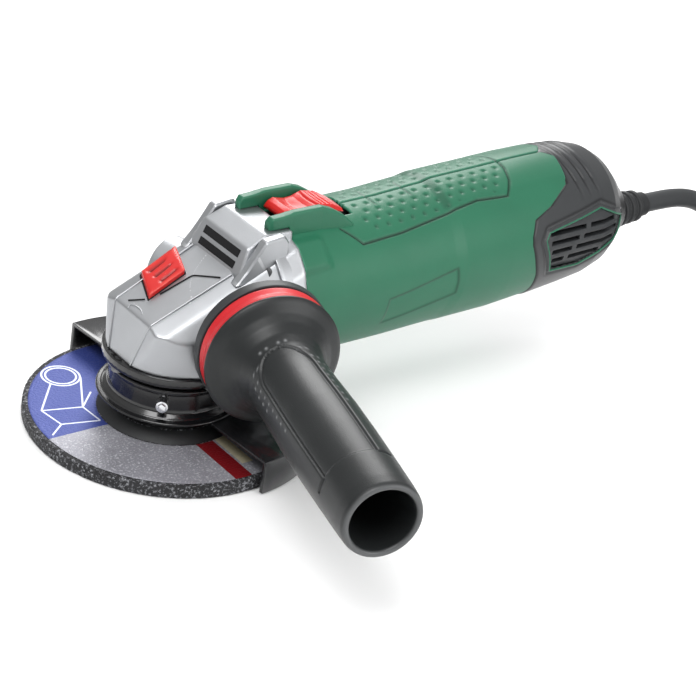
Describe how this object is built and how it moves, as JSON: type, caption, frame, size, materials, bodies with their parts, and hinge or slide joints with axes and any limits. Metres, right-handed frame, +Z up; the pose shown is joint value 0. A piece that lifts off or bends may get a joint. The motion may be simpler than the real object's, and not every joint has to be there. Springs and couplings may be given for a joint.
{
  "type": "angle grinder",
  "caption": "Corded angle grinder with a depressed-centre grinding disc, guard, damped side handle, slide switch, spindle lock and coiled mains lead.",
  "frame": {"origin": "where the spindle's axis meets the underside of the grinding disc and of its clamping nut", "axes": "+Z up along the spindle, +X along the motor to the mains lead, the side handle leans out along -Y"},
  "size_m": [0.518, 0.2406, 0.0994],
  "materials": {
    "cast_aluminium": "satin cast",
    "black_cast": "gloss black",
    "black_steel": "black oxide",
    "bearing_steel": "ground",
    "bronze": "sintered",
    "felt": "felt",
    "black_plastic": "moulded",
    "green_plastic": "fine texture",
    "grey_rubber": "satin soft grip",
    "black_rubber": "matt",
    "laminated_steel": "laminated",
    "copper": "enamelled copper",
    "brass": "bright",
    "carbon": "carbon",
    "spring_steel": "spring",
    "cream_plastic": "moulded",
    "plated_steel": "zinc plated",
    "red_rubber": "soft",
    "grip_plastic": "textured",
    "cable_rubber": "satin",
    "gear_steel": "hardened",
    "abrasive": "rough grit",
    "label_paper": "printed paper",
    "red_plastic": "satin",
    "black_painted_steel": "satin"
  },
  "bodies": {
    "housing": {"gear_head": "cast_aluminium", "bearing_flange": "black_cast", "flange_screws": "black_steel", "spindle_bearing": "bearing_steel", "top_bush": "bronze", "felt_seal": "felt", "bearing_plate": "black_plastic", "head_screws": "black_steel", "front_bearing": "bearing_steel", "left_shell": "green_plastic", "right_shell": "green_plastic", "shell_screws": "black_steel", "rear_cap": "grey_rubber", "vent_grille_left": "black_plastic", "vent_grille_right": "black_plastic", "rear_bearing": "bearing_steel", "bearing_sleeve": "black_rubber", "stator_core": "laminated_steel", "field_coils": "copper", "air_baffle": "black_plastic", "brush_holders": "brass", "carbon_brushes": "carbon", "brush_springs": "spring_steel", "switch_unit": "black_plastic", "capacitor": "cream_plastic", "cord_clamp": "black_plastic", "cord_boot": "black_rubber", "handle_stud": "plated_steel", "handle_plate": "black_plastic", "handle_damper": "red_rubber", "handle_grip": "grip_plastic", "cord_lead": "cable_rubber", "cord_coil": "cable_rubber", "mains_plug": "black_rubber", "plug_pins": "plated_steel"},
    "spindle_group": {"spindle": "plated_steel", "crown_gear": "gear_steel", "gear_circlip": "spring_steel", "inner_flange": "plated_steel", "flange_o_ring": "black_rubber", "grinding_disc": "abrasive", "disc_label": "label_paper", "clamp_nut": "plated_steel"},
    "armature": {"armature_shaft": "gear_steel", "armature_core": "laminated_steel", "armature_windings": "copper", "commutator": "copper", "cooling_fan": "black_plastic", "pinion": "gear_steel", "pinion_nut": "black_steel"},
    "switch": {"switch_slider": "red_plastic", "switch_rod": "black_plastic"},
    "lock": {"lock_button": "red_plastic", "lock_pin": "plated_steel", "lock_spring": "spring_steel"},
    "guard": {"guard_shell": "black_painted_steel", "guard_collar": "black_painted_steel", "guard_screw": "plated_steel"}
  },
  "joints": [
    {"name": "spindle_spin", "type": "hinge", "parent": "housing", "child": "spindle_group", "pos_m": [0, 0, 0], "axis": [0, 0, 1], "continuous": true},
    {"name": "armature_spin", "type": "hinge", "parent": "housing", "child": "armature", "pos_m": [0, 0, 0.057], "axis": [1, 0, 0], "continuous": true},
    {"name": "switch_slide", "type": "slide", "parent": "housing", "child": "switch", "axis": [-1, 0, 0], "range_m": [0, 0.008], "stiffness_N_per_m": 600, "springref_m": -0.002},
    {"name": "lock_press", "type": "slide", "parent": "housing", "child": "lock", "axis": [0, 0, -1], "range_m": [0, 0.0045], "stiffness_N_per_m": 800, "springref_m": -0.002, "deforming": ["lock_spring"]},
    {"name": "guard_turn", "type": "hinge", "parent": "housing", "child": "guard", "pos_m": [0, 0, 0], "axis": [0, 0, 1], "range_deg": [-75, 75]}
  ],
  "couplings": [
    {"joint": "armature_spin", "follows": "spindle_spin", "ratio": 3}
  ]
}
